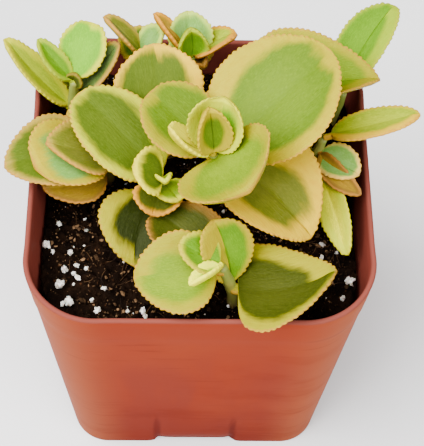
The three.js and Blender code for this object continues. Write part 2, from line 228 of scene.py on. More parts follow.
# The tones of the leaves, greens mostly for their middles, yellows and tans for their margins,
# and then those of the pot's wall, the potting mix and the stems that the panel leaves out
TONES = {
    # The greens "dark" and "shade" are partly the leaves' own colour and partly painted shade, for leaves
    # that lie under others
    "dark": "1c2206", "shade": "363b0c", "deep": "334513", "forest": "3b5717", "moss": "4a5a12",
    "leaf": "576f10", "grass": "588008", "lime": "659c08", "apple": "6b8208", "olive": "64661e",
    "sage": "516533", "mint": "6f9646", "young": "92b208", "straw": "8c980e", "tan": "94711c",
    "umber": "513615", "bark": "73541d", "sand": "97812a", "amber": "ba8108", "brass": "8e8808",
    "butter": "a09108", "primrose": "a9ab08", "pear": "859b08", "celery": "a2bd41",
    "spring": "b7bd08", "honey": "c9a508", "lemon": "d4cc08", "bright": "e6ec08", "cream": "f2cb57",
    # Wall tones: the upper wall's paler one is painted light, the foot's darker one painted shade, the
    # corner's paler one a painted highlight
    "streak": "7c2a14", "lit upper wall": "822f18", "foot": "641e13", "patch": "8a381c", "corner": "8e4a2c",
    "damp peat": "160c06", "dark fibre": "180d07", "pale fibre": "543a22", "pore": "b4a898",
    "dirt": "5c4630", "scar": "806428",
}


def tone(name):
    return shade(TONES[name])


LEAF = {
    "roll": 0, "fold": 5, "cup": 20, "arch": 0, "taper": 0.5, "blunt": 0.6, "sweep": 0,
    "tint": "deep butter", "bands": (0.8, 0.8), "rim": 0.6,
}


def leaf(at, bearing, rise, length, width, **rest):
    """One leaf's sizes in millimetres and degrees, as in its solid, with its colours. tint is
    the tone of its middle and of its pale margin. bands are the margin's widths: on the left
    and right of a leaf that points away from the pot's front, or at the base and tip of the
    left side and then of the right. rim is how tan the teeth are."""
    sizes = {"at": at, "bearing": bearing, "rise": rise, "length": length, "width": width}
    each = {**LEAF, **sizes, **rest}
    if len(each["bands"]) == 2:
        left, right = each["bands"]
        each["bands"] = (left, left, right, right)
    return each


def low_leaf(at, bearing, rise, length, width, **rest):
    """One of the small lower leaves, which the others mostly hide."""
    return leaf(at, bearing, rise, length, width, **{"fold": 10, "arch": 0.05, **rest})


# The leafy stems: each node's middle line from foot to top, and its leaves from the top down
SHOOTS = {
    "shoot_middle": (((3, 4, 46), (2.4, 0, 62), (1.6, -7, 73.5)), (
        leaf(73, 109, 73, 9, 7.5, fold=15, cup=60, arch=-0.05, tint="leaf butter", rim=0.15,
             bands=(1.9, 1.4, 1.9, 1.4)),
        leaf(72.5, 176, 44, 9.5, 5.5, roll=-10, fold=25, arch=-0.15, tint="moss lemon", rim=0.1,
             bands=(2.4, 2.4)),
        leaf(72, 73, 62, 10, 11, fold=10, cup=60, arch=-0.05, blunt=0.4, tint="lime spring", rim=0.2,
             bands=(2.6, 2.2, 2.6, 1.6)),
        leaf(71, -65, 28, 13.4, 17.5, roll=-22, cup=40, blunt=0.35, tint="apple brass", rim=0.5,
             bands=(3, 1.6, 3.2, 1.6)),
        leaf(70, 140, 20, 14, 12.5, cup=15, arch=0.03, blunt=0.5, sweep=0.02, tint="leaf brass",
             bands=(3, 1.3, 1, 0.9)),
        leaf(67, 37, 24, 24.7, 21.3, arch=0.05, sweep=-0.045, tint="leaf butter", bands=(6, 1.3, 3.2, 2)),
        leaf(65, -39, -12, 20, 19, fold=15, arch=0.08, blunt=0.7, sweep=0.03, tint="olive honey",
             bands=(8, 1.8, 4.8, 2.6)),
        low_leaf(61, -92, 10, 5, 5),
    )),
    "shoot_middle_back": (((-5, 9, 46), (-6, 6.5, 64)), (
        leaf(63, 101, 38, 12.7, 14.8, roll=9, cup=15, arch=0.05, blunt=0.7, tint="moss honey",
             bands=(1.2, 1, 3, 1.6)),
        low_leaf(60, 10, 15, 6.5, 6),
        leaf(56, -146, 0, 3.5, 7, fold=10, arch=0.03, tint="forest butter"),
    )),
    "shoot_middle_left": (((-6, 2, 46), (-6, -6.5, 65.5)), (
        leaf(65, -78, 53, 4, 3.5, fold=25, cup=40, tint="apple spring", rim=0.1, bands=(0.7, 0.7)),
        leaf(64.4, 176, 38, 6, 9, arch=0.03, tint="moss lemon", rim=0.25, bands=(1.2, 1, 1.4, 0.9)),
        leaf(63, -59, 12, 5, 5.5, fold=10, tint="apple primrose", rim=0.2, bands=(0.7, 0.7)),
        leaf(61.5, 137.5, 20, 20, 13.5, cup=15, arch=0.06, blunt=0.55, tint="moss primrose",
             bands=(2.2, 0.9, 4, 0.9)),
        # The "shade" and "dark" tints of the next two leaves are partly painted shade
        leaf(62, -106, -5, 6, 8, fold=8, arch=0.03, tint="shade amber", bands=(0.7, 0.7)),
        leaf(57, -109, -12, 14, 14.5, roll=6, fold=8, cup=8, arch=0.06, sweep=-0.08, tint="dark brass",
             rim=0.5, bands=(0.8, 0.8, 3, 2.2)),
    )),
    "shoot_front": (((5.5, -20, 46), (5.2, -20.5, 55), (3.1, -20, 62.5)), (
        leaf(62.5, -134, 20, 7.5, 4, roll=-20, fold=30, cup=40, sweep=0.05, tint="young bright", rim=0.15,
             bands=(1.4, 1.4)),
        leaf(62, 167, 30, 8, 7.5, fold=8, cup=30, arch=-0.03, tint="grass primrose", rim=0.3),
        leaf(61, -176, -4, 14, 13.5, roll=15, arch=0.04, blunt=0.7, sweep=0.02, tint="apple brass",
             bands=(3, 1, 5, 2.2)),
        # This leaf's "shade" tint is partly painted shade
        leaf(58, 136, 5, 16.5, 11.5, fold=8, arch=0.03, blunt=0.5, sweep=-0.04, tint="shade bark",
             bands=(0.9, 0.8, 2.5, 0.8)),
        leaf(56, 118, 57, 12.5, 9.8, fold=20, taper=0.7, blunt=0.4, sweep=-0.03, tint="grass butter",
             rim=0.3, bands=(4.6, 0.9)),
        # This leaf's "shade" tint is partly painted shade
        leaf(56, 1, 18, 17, 16.8, roll=6.5, cup=15, arch=0.06, taper=0.25, blunt=0.8, sweep=-0.18,
             tint="shade brass", bands=(2.6, 3.6, 3.2, 0.4)),
    )),
    "shoot_right": (((19.5, 5, 46), (19, 2.5, 60), (20, 3.5, 64)), (
        leaf(63.5, 8, 13, 16, 7, roll=15, arch=0.03, sweep=-0.05, tint="straw honey",
             bands=(0.4, 0.4, 1.6, 1.4)),
        leaf(61, -51, -6, 10.5, 4.5, roll=-25, fold=25, arch=0.05, sweep=-0.08, tint="tan bark"),
        leaf(60.5, -41, 10, 8.5, 6.5, roll=-15, fold=10, tint="mint cream", rim=0.5, bands=(0.5, 0.5)),
        leaf(58, -74, -10, 17.5, 5.7, roll=-40, fold=10, arch=0.03, sweep=0.04, tint="lemon spring",
             rim=0.2, bands=(1.5, 1.5)),
        low_leaf(57, 165, 5, 7, 6.5),
    )),
    "shoot_middle_right": (((6, 13, 46), (7, 11, 64)), (
        leaf(62, 4, 12, 23, 21, fold=38, cup=10, arch=0.03, taper=0.35, blunt=0.8, tint="apple brass",
             rim=0.6, bands=(1.1, 2.2, 3.1, 3.5)),
        low_leaf(60, 178, 10, 6, 6),
    )),
    "shoot_right_back": (((22, 15, 46), (24, 15, 61)), (
        leaf(60, 57, 19, 18, 9.2, fold=20, arch=0.03, sweep=0.05, tint="grass pear", rim=0.2,
             bands=(0.4, 0.6, 2, 2.4)),
        low_leaf(57, 150, 12, 7, 6, tint="forest butter"),
    )),
    "shoot_back": (((-1, 19.5, 46), (-1.6, 17.5, 67)), (
        leaf(66.5, 102, 81, 6, 7, fold=15, cup=60, arch=-0.05, tint="grass pear", rim=0.15,
             bands=(0.9, 0.9)),
        leaf(65.5, 100, 50, 8, 8, fold=10, cup=30, tint="mint celery", rim=0.3),
        leaf(65.5, 155, 49, 10.5, 4.5, roll=-20, fold=15, cup=30, sweep=0.05, tint="tan amber"),
        leaf(65.5, 15, 28, 8.7, 6.8, roll=20, fold=10, arch=0.03, tint="straw amber", bands=(0.8, 1.2)),
        leaf(63.5, -49, 41, 4.5, 6, fold=25, cup=40, tint="umber bark", rim=0.4),
        low_leaf(61, 80, 10, 8, 6.5, tint="forest butter"),
    )),
    "shoot_back_left": (((-10, 19.3, 46), (-10, 18.8, 65.5)), (
        leaf(64.5, 156, 46, 9.5, 5.5, roll=-25, fold=15, arch=0.05, sweep=0.08, tint="olive sand"),
        leaf(64.5, 25, 52, 6.8, 5.6, fold=10, tint="mint celery", rim=0.3),
        low_leaf(61, 100, 12, 8, 7, tint="forest butter", bands=(0.9, 0.9)),
        low_leaf(58, -105, 5, 5.5, 6),
    )),
    "shoot_left_back": (((-21.5, 13.5, 46), (-21.5, 14.5, 55), (-21, 15, 63)), (
        leaf(62, 70, 34, 10.5, 8.1, arch=0.03, blunt=0.45, tint="lime spring", rim=0.3,
             bands=(0.4, 0.5, 0.9, 0.8)),
        leaf(62, 144, 40, 9.5, 4.5, fold=15, cup=30, sweep=0.05, tint="grass pear", rim=0.1),
        # This leaf's "shade" tint is partly painted shade
        leaf(61, 71, 74, 3, 4, fold=15, cup=30, tint="shade moss", rim=0.3, bands=(0.5, 0.5)),
        leaf(58, 35, 40, 12.5, 6, fold=10, tint="sage sand", bands=(0.7, 0.7)),
        low_leaf(56, -60, 5, 5.5, 5),
        leaf(55, 151, 41, 17, 6.5, roll=-10, fold=20, arch=-0.03, sweep=0.03, tint="straw primrose",
             rim=0.15, bands=(1.3, 1.2, 1.3, 1.2)),
    )),
    "shoot_left": (((-15, 4, 46), (-16, 3, 61)), (
        leaf(59.5, -162, 33, 11, 12, fold=8, arch=0.05, blunt=0.8, sweep=0.15, tint="olive sand",
             bands=(1.2, 0.8, 1.6, 0.8)),
        leaf(59, -164, 7, 16.5, 14.5, fold=6, arch=0.05, blunt=0.7, tint="moss sand",
             bands=(1.4, 1, 1.6, 1)),
        leaf(58, -151, 22, 13.2, 14.5, fold=6, arch=0.05, blunt=0.4, tint="mint butter",
             bands=(2.5, 1.6, 3.2, 2.2)),
        leaf(56, -150, 0, 11.5, 9.5, fold=6, arch=0.05, sweep=0.2, tint="tan bark", bands=(0.9, 0.9)),
        low_leaf(57, 60, 10, 6.5, 6),
    )),
}


# Colour and size settings, shown in the panel
class PotSettings(PropertyGroup):
    colour: FloatVectorProperty(
        name="Plastic", description="The wall's colour", subtype="COLOR", size=3, default=shade("74291a"))
    # The lip's paler colour is a painted highlight on the rim where it faces up
    lip_highlight: FloatVectorProperty(
        name="Lip", description="The paler colour of the rim", subtype="COLOR", size=3,
        default=shade("70382f"))
    inside: FloatVectorProperty(
        name="Inside", description="The inner wall's deeper red", subtype="COLOR", size=3,
        default=shade("6c3027"))
    wave: FloatProperty(
        name="Waves", description="How far the thin wall waves in and out", unit="LENGTH",
        default=0.16 * MM)
    roughness: FloatProperty(name="Roughness", description="The plastic's roughness", default=0.42)


class SoilSettings(PropertyGroup):
    dark: FloatVectorProperty(
        name="Peat", description="The dark of the mix", subtype="COLOR", size=3, default=shade("0a0503"))
    light: FloatVectorProperty(
        name="Bark", description="The lighter bits of the mix", subtype="COLOR", size=3,
        default=shade("4a2c18"))
    chips: FloatVectorProperty(
        name="Chips", description="The palest crumbs", subtype="COLOR", size=3, default=shade("8c6a4a"))
    white: FloatVectorProperty(
        name="Perlite", description="The white lumps", subtype="COLOR", size=3, default=shade("f0ece6"))
    grains: IntProperty(name="Grains", description="How many loose crumbs lie on top", default=6000)
    fibres: IntProperty(name="Fibres", description="How many fibres lie on top", default=300)
    specks: IntProperty(name="Specks", description="How many small perlite grains", default=110)


class LeafSettings(PropertyGroup):
    pitch: FloatProperty(
        name="Tooth pitch", description="From one tooth to the next", unit="LENGTH", default=0.95 * MM)
    tooth: FloatProperty(
        name="Tooth depth", description="How far the teeth stand out", unit="LENGTH", default=0.34 * MM)
    crease: FloatProperty(
        name="Midrib", description="How deep the midrib is creased", unit="LENGTH", default=0.1 * MM)
    edge: FloatVectorProperty(
        name="Teeth", description="The tan of the teeth", subtype="COLOR", size=3, default=shade("a87028"))
    bloom: FloatVectorProperty(
        name="Bloom", description="The pale streaks on the green", subtype="COLOR", size=3,
        default=shade("a2ae3c"))
    roughness: FloatProperty(name="Roughness", description="The leaves' roughness", default=0.42)


class StemSettings(PropertyGroup):
    radius: FloatProperty(
        name="Radius", description="Half a stem's thickness", unit="LENGTH", default=0.95 * MM)
    green: FloatVectorProperty(
        name="Young", description="Near the top", subtype="COLOR", size=3, default=shade("76822a"))
    brown: FloatVectorProperty(
        name="Old", description="Near the foot", subtype="COLOR", size=3, default=shade("54361a"))


class StageSettings(PropertyGroup):
    floor: FloatVectorProperty(
        name="Floor", description="The pale floor", subtype="COLOR", size=3, default=(0.76, 0.76, 0.76))
    key: FloatProperty(name="Key", description="The large light overhead, in watts", default=19.0)
    fill: FloatProperty(name="Fill", description="The light beside the camera, in watts", default=7.0)
    sky: FloatProperty(name="Sky", description="How bright the pale surroundings are", default=0.22)


# Node trees, with the colour sockets of a Mix node
MIX_A, MIX_B, MIX_RESULT = 6, 7, 2


class Finish:
    """A material's node tree, made by short calls that each give a node's output."""

    def __init__(self, name):
        self.material = bpy.data.materials.new(name)
        self.material.use_nodes = True
        self.tree = self.material.node_tree
        self.tree.nodes.clear()

    def add(self, kind, inputs=None, output=0, **settings):
        node = self.tree.nodes.new("ShaderNode" + kind)
        for name, value in settings.items():
            setattr(node, name, value)
        for name, value in (inputs or {}).items():
            if isinstance(value, bpy.types.NodeSocket):
                self.tree.links.new(value, node.inputs[name])
            elif isinstance(value, tuple) and len(value) == 3 and len(node.inputs[name].default_value) == 4:
                node.inputs[name].default_value = (*value, 1)
            else:
                node.inputs[name].default_value = value
        return node.outputs[output]

    def mixed(self, factor, first, second, blend="MIX"):
        inputs = {0: factor, MIX_A: first, MIX_B: second}
        return self.add("Mix", inputs, MIX_RESULT, data_type="RGBA", blend_type=blend)

    def tinted(self, colour, times):
        return self.mixed(1.0, colour, times, "MULTIPLY")

    def maths(self, operation, first, second=0.0):
        return self.add("Math", {0: first, 1: second}, operation=operation)

    def scaled(self, value, share):
        return self.maths("MULTIPLY", value, share)

    def ranged(self, value, low, high, out_low=0.0, out_high=1.0):
        inputs = {"Value": value, "From Min": low, "From Max": high, "To Min": out_low, "To Max": out_high}
        return self.add("MapRange", inputs, interpolation_type="SMOOTHSTEP")

    def attribute(self, name, output="Fac"):
        return self.add("Attribute", output=output, attribute_name=name)

    def clouds(self, scale, detail=3.0, roughness=0.55, where=None):
        """Cloudy noise over the object's own coordinates, or over others that where gives."""
        if where is None:
            where = self.add("TexCoord", output="Object")
        place = self.add("Mapping", {"Vector": where, "Scale": scale})
        inputs = {"Vector": place, "Scale": 1.0, "Detail": detail, "Roughness": roughness}
        return self.add("TexNoise", inputs)

    def bump(self, height, distance, strength=1.0, under=None):
        inputs = {"Height": height, "Distance": distance, "Strength": strength}
        if under is not None:
            inputs["Normal"] = under
        return self.add("Bump", inputs)

    def surface(self, inputs):
        shader = self.add("BsdfPrincipled", inputs)
        end = self.tree.nodes.new("ShaderNodeOutputMaterial")
        self.tree.links.new(shader, end.inputs["Surface"])
        return self.material


# Mesh helpers
def square_place(turn, half, corner):
    """A point of a square with rounded corners, by the share of the way round it."""
    straight = half - corner
    arc = corner * math.pi / 2
    whole = 2 * straight + arc
    side = int(turn * 4) % 4
    along = (turn * 4 - int(turn * 4)) * whole - straight
    if along <= straight:
        point = Vector((half, along, 0))
    else:
        angle = (along - straight) / corner
        point = Vector((straight + corner * math.cos(angle), straight + corner * math.sin(angle), 0))
    return Matrix.Rotation(side * math.pi / 2, 3, "Z") @ point


def rolled(bm, rows, sides, place):
    """A grid rolled into a tube, its seam welded and its ends closed. place(vert, row, turn)
    gives each corner's point, and may note values on the corner."""
    grid = bmesh.ops.create_grid(bm, x_segments=rows, y_segments=sides, size=0.5)["verts"]
    for vert in grid:
        row = round((vert.co.x + 0.5) * rows)
        turn = (vert.co.y + 0.5) % 1.0
        vert.co = place(vert, row, turn)
    bmesh.ops.remove_doubles(bm, verts=grid, dist=1e-7)
    kept = [vert for vert in grid if vert.is_valid]
    rim = dict.fromkeys(edge for vert in kept for edge in vert.link_edges if edge.is_boundary)
    if rim:
        bmesh.ops.holes_fill(bm, edges=list(rim), sides=0)


def finished(name, bm, material, replaces=(), smooth_faces=True):
    """Turns a bmesh into a piece of the part and the nodes that it replaces."""
    bmesh.ops.recalc_face_normals(bm, faces=bm.faces)
    for face in bm.faces:
        face.smooth = smooth_faces
    mesh = bpy.data.meshes.new(name)
    bm.to_mesh(mesh)
    bm.free()
    mesh.materials.append(material)
    piece = bpy.data.objects.new(name, mesh)
    bpy.context.scene.collection.objects.link(piece)
    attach(piece, ROOT)
    if replaces:
        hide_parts(*replaces)
    return piece


def heaped(count, make, layer=None):
    """Many small closed lumps in one bmesh, made a handful at a time, which is far quicker."""
    whole = bmesh.new()
    for first in range(0, count, HANDFUL):
        few = bmesh.new()
        held = few.verts.layers.float.new(layer) if layer else None
        for number in range(first, min(first + HANDFUL, count)):
            make(few, number, held)
        mesh = bpy.data.meshes.new("handful")
        few.to_mesh(mesh)
        few.free()
        whole.from_mesh(mesh)
        bpy.data.meshes.remove(mesh)
    return whole


# The pot
def pot_half(z):
    return mix(POT_BASE, POT_TOP, z / POT_HEIGHT) / 2


def pot_corner(z):
    return mix(CORNER_BASE, CORNER_TOP, z / POT_HEIGHT)


def pot_rows():
    """The wall's section from the middle of the underside, up the outside, over the rim and
    down to the middle of the floor, as half width, height and corner radius."""
    def wall(z, inset):
        return (pot_half(z) - inset, z, pot_corner(z) - inset)

    foot = pot_half(0) - FOOT_WIDTH
    foot_corner = CORNER_BASE - FOOT_WIDTH
    rows = [(0, FLOOR_UNDERSIDE, 0), (foot * 0.5, FLOOR_UNDERSIDE, foot_corner * 0.5),
            (foot, FLOOR_UNDERSIDE, foot_corner), (foot, FOOT_EDGE, foot_corner),
            (foot + FOOT_EDGE, 0, foot_corner)]
    rows += [wall(0, FOOT_EDGE), wall(FOOT_EDGE, 0)]
    rows += [wall(z, 0) for z in (0.6, 1.0, 1.2, 1.4, 1.8, 2.4)]
    rows += [wall(z, STEP_DEPTH * z / STEP_HEIGHT) for z in (*range(4, 50, 2), 49.2)]
    rows += [wall(STEP_HEIGHT + 0.4, STEP_DEPTH * 0.3), wall(STEP_HEIGHT + 1.2, 0), wall(53, 0), wall(56, 0)]
    for angle in range(0, 181, 30):
        out = (WALL / 2) * (1 - math.cos(math.radians(angle)))
        rows.append(wall(POT_HEIGHT - WALL / 2 + (WALL / 2) * math.sin(math.radians(angle)), out))
    rows += [wall(z, WALL) for z in (55, 52)]
    rows += [wall(STEP_HEIGHT, WALL + STEP_DEPTH)]
    rows += [wall(z, WALL) for z in (46, 40, 30, 20, 10, 3.2)]
    rows += [wall(FLOOR_TOP, WALL + 0.6), (foot * 0.5, FLOOR_TOP, foot_corner * 0.5), (0, FLOOR_TOP, 0)]
    return rows


class STONECROP_OT_pot(Operator):
    """Make the thin plastic pot, with its rim, its step, its notched foot and its drain holes"""
    bl_idname = "stonecrop.pot"
    bl_label = "Pot"

    def execute(self, context):
        settings = context.scene.stonecrop_pot
        profile = pot_rows()
        foot_rows, notched_rows, wall_rows = range(3, 7), range(5, 13), range(5, len(profile) - 3)

        def place(vert, row, turn):
            half, z, corner = profile[row]
            if half == 0:
                return POT_CENTRE + Vector((0, 0, z)) * MM
            point = square_place(turn, half, corner)
            across = 1 if abs(point.x) > abs(point.y) else 0
            along = abs(point[across])
            outward = Vector((math.copysign(1, point.x), 0, 0)) if across else \
                Vector((0, math.copysign(1, point.y), 0))
            flat = smooth(half - corner - along, -1, 3)
            notch = 1 - smooth(along, NOTCH_HALF - NOTCH_SOFT, NOTCH_HALF + NOTCH_SOFT)
            if row in foot_rows:
                z = mix(z, NOTCH_HEIGHT, notch)
            # The corner value masks a painted highlight down the rounded corners
            vert[corner_sheen] = smooth(along / half, 0.45, 1)
            if row in wall_rows:
                fade = 1 - smooth(z, NOTCH_HEIGHT, CREASE_HEIGHT)
                crease = math.exp(-((along - NOTCH_HALF) / CREASE_WIDTH) ** 2)
                push = 0
                if row in notched_rows:
                    push -= NOTCH_DEPTH * notch * (1 - smooth(z, NOTCH_HEIGHT, NOTCH_FADE))
                push -= CREASE_DEPTH * crease * fade
                spot = Vector((point.x, point.y, z * 0.5)) * WAVE_SCALE
                wave = noise.noise(spot) * settings.wave / MM * smooth(POT_HEIGHT - z, 0.5, 6)
                push += (wave - settings.wave / MM * 0.6) * smooth(z, 1, 6)
                # Painted shade along the creases that rise from the foot notches
                vert[crease_shade_layer] = crease ** 2 * flat * (1 - smooth(z, CREASE_HEIGHT / 2, CREASE_HEIGHT))
                point += outward * push * flat
            return POT_CENTRE + Vector((point.x, point.y, z)) * MM

        bm = bmesh.new()
        # Layers for painted shade along the creases and a painted highlight down the corners
        crease_shade_layer, corner_sheen = (bm.verts.layers.float.new(name) for name in ("crease_shade", "corner"))
        rolled(bm, len(profile) - 1, POT_SIDES, place)
        piece = finished("nursery_pot", bm, plastic(settings), replaces=["pot"])
        drills = bmesh.new()
        for x, y in ((0, 0), (1, 1), (-1, 1), (-1, -1), (1, -1)):
            centre = POT_CENTRE + Vector((x * DRAIN_HALF, y * DRAIN_HALF, FLOOR_TOP)) * MM
            bmesh.ops.create_cone(
                drills, cap_ends=True, segments=DRAIN_SIDES, radius1=DRAIN_RADIUS * MM,
                radius2=DRAIN_RADIUS * MM, depth=4 * FLOOR_TOP * MM, matrix=Matrix.Translation(centre))
        cut_away(piece, drills)
        return {"FINISHED"}


def cut_away(piece, drills):
    """Cuts a bmesh of closed tools out of a piece and applies the cut."""
    mesh = bpy.data.meshes.new("drills")
    drills.to_mesh(mesh)
    drills.free()
    tool = bpy.data.objects.new("drills", mesh)
    bpy.context.scene.collection.objects.link(tool)
    cut = piece.modifiers.new("drain holes", "BOOLEAN")
    cut.object = tool
    cut.operation = "DIFFERENCE"
    cut.solver = "EXACT"
    with bpy.context.temp_override(object=piece):
        bpy.ops.object.modifier_apply(modifier=cut.name)
    bpy.data.objects.remove(tool)
    bpy.data.meshes.remove(mesh)


def plastic(settings):
    """Thin terracotta-coloured plastic: a paler lip that is a painted highlight, a deeper inside, soft
    streaks, and painted light and shade on the wall and in its creases.
    """
    look = Finish("terracotta plastic")
    place = look.add("TexCoord", output="Object")
    height = look.add("SeparateXYZ", {"Vector": place}, 2)
    normal = look.add("NewGeometry", output="Normal")
    level = look.add("VectorMath", {0: place, 1: (1, 1, 0)}, operation="MULTIPLY")
    inward = look.add("VectorMath", {0: level, 1: normal}, 1, operation="DOT_PRODUCT")
    inside = look.ranged(inward, 0.0, -0.006)
    upward = look.add("SeparateXYZ", {"Vector": normal}, 2)

    def over(band, low=0.0, high=1.0):
        return look.ranged(height, band[0] * MM, band[1] * MM, low, high)

    # Painted highlight: the lip colour where the rim faces up
    lip_highlight = look.scaled(over(LIP_HIGHLIGHT_BAND), look.ranged(upward, -0.2, 0.5))
    streaks = look.clouds((140, 140, 30), detail=4)
    patches = look.clouds((45, 45, 45), detail=3)
    wall = look.mixed(look.ranged(streaks, 0.35, 0.7), settings.colour[:], tone("streak"))
    # Painted light towards the top of the wall and painted shade towards its foot
    wall = look.mixed(look.scaled(over(UPPER_LIGHT_BAND), 0.8), wall, tone("lit upper wall"))
    wall = look.mixed(look.scaled(over(FOOT_SHADE_BAND), 0.8), wall, tone("foot"))
    wall = look.mixed(look.scaled(look.ranged(patches, 0.5, 0.75), 0.3), wall, tone("patch"))
    # Painted highlight down the rounded corners
    wall = look.mixed(look.scaled(look.attribute("corner"), 0.9), wall, tone("corner"))
    smudges = look.ranged(look.clouds((50, 50, 130), detail=4, roughness=0.6), 0.5, 0.68)
    smudges = look.scaled(smudges, over(SMUDGE_BAND, 0.15, 0.6))
    wall = look.mixed(smudges, wall, look.tinted(wall, (0.82, 0.6, 0.45)))
    scratches = look.clouds((70, 70, 1500), detail=3)
    marks = look.scaled(look.ranged(scratches, 0.58, 0.7), look.ranged(patches, 0.4, 0.6))
    marks = look.scaled(marks, 0.45)
    wall = look.mixed(marks, wall, look.tinted(wall, (0.6, 0.45, 0.5)))
    # Painted shade darkening the creases above the foot notches
    crease_shading = look.ranged(look.attribute("crease_shade"), 0.1, 0.8)
    wall = look.mixed(crease_shading, wall, look.tinted(wall, (0.68, 0.48, 0.42)))
    wall = look.mixed(inside, wall, settings.inside[:])
    colour = look.mixed(lip_highlight, wall, settings.lip_highlight[:])
    fine = look.clouds((900, 900, 400), detail=2)
    soft = look.clouds((120, 120, 60), detail=2)
    bump = look.bump(soft, 0.25 * MM, 0.5, look.bump(fine, 0.02 * MM, 0.4))
    return look.surface({
        "Base Color": colour, "Roughness": settings.roughness, "Normal": bump,
        "Specular IOR Level": 0.005})


# The soil
def soil_height(x, y):
    """The top of the soil over the pot's middle, in millimetres, as in its solid."""
    heaps = sum(height * math.exp(-((x - cx) ** 2 + (y - cy) ** 2) / radius ** 2)
                for cx, cy, radius, height in HEAPS)
    crumbs = math.sin(1.9 * x + 0.7 * y) * math.sin(2.3 * y - 0.5 * x)
    crumbs += 0.6 * math.sin(4.1 * x - 1.3 * y) * math.cos(3.7 * y + 0.9 * x)
    return SOIL_LEVEL + heaps + CRUMB * crumbs


def soil_edge(z):
    return pot_half(z) - SOIL_INSET, pot_corner(z) - SOIL_INSET


def spread(x, y, half, corner):
    """Draws a point of the square from -1 to 1 onto a square with rounded corners."""
    ring = max(abs(x), abs(y))
    if ring < 1e-9:
        return Vector((0, 0, 0))
    if abs(x) >= abs(y):
        side, along = (0, y / ring) if x > 0 else (2, -y / ring)
    else:
        side, along = (1, -x / ring) if y > 0 else (3, x / ring)
    straight = half - corner
    whole = 2 * straight + corner * math.pi / 2
    walked = (along + 1) / 2 * whole - whole / 2
    turn = (side + (walked + straight) / whole) / 4
    return square_place(turn % 1.0, half, corner) * ring


class STONECROP_OT_soil(Operator):
    """Make the soil, heaped and crumbly on top and filled down to the pot's floor"""
    bl_idname = "stonecrop.soil"
    bl_label = "Soil"

    def execute(self, context):
        settings = context.scene.stonecrop_soil
        half = soil_edge(SOIL_LEVEL - SOIL_HOLLOW)[0]
        corner = soil_edge(SOIL_LEVEL)[1]
        bm = bmesh.new()
        bmesh.ops.create_grid(bm, x_segments=SOIL_CELLS, y_segments=SOIL_CELLS, size=1)
        for vert in bm.verts:
            point = spread(vert.co.x, vert.co.y, half, corner)
            height = soil_height(point.x, point.y)
            rough = noise.turbulence(point * ROUGH_SCALE, 4, True, noise_basis="PERLIN_ORIGINAL")
            height += ROUGH * (rough - ROUGH_MEAN) + PITS * noise.noise(point * PITS_SCALE)
            vert.co = POT_CENTRE + Vector((point.x, point.y, height)) * MM
        rim = [edge for edge in bm.edges if edge.is_boundary]
        low_half = soil_edge(FLOOR_TOP)[0]
        sunk = bmesh.ops.extrude_edge_only(bm, edges=rim)["geom"]
        low = [item for item in sunk if isinstance(item, bmesh.types.BMVert)]
        for vert in low:
            offset = vert.co - POT_CENTRE
            vert.co.x = POT_CENTRE.x + offset.x * low_half / half
            vert.co.y = POT_CENTRE.y + offset.y * low_half / half
            vert.co.z = (FLOOR_TOP + SOIL_GAP) * MM
        bmesh.ops.holes_fill(bm, edges=[edge for edge in bm.edges if edge.is_boundary], sides=0)
        finished("potting_soil", bm, earth("potting mix", settings), replaces=["soil"])
        return {"FINISHED"}


def earth(name, settings):
    """Dark peat with lighter brown fibres and bits."""
    look = Finish(name)
    bits = look.clouds((1100, 1100, 1100), detail=5, roughness=0.7)
    lumps = look.clouds((300, 300, 300), detail=3)
    damp = look.mixed(look.ranged(lumps, 0.35, 0.7), settings.dark[:], tone("damp peat"))
    colour = look.mixed(look.ranged(bits, 0.6, 0.76), damp, settings.light[:])
    chips = look.scaled(look.attribute("chip"), look.ranged(bits, 0.2, 0.6))
    colour = look.mixed(chips, colour, settings.chips[:])
    bump = look.bump(bits, 0.5 * MM, 0.9, look.bump(lumps, 0.6 * MM, 0.6))
    return look.surface({
        "Base Color": colour, "Roughness": 0.9, "Normal": bump, "Specular IOR Level": 0.02})


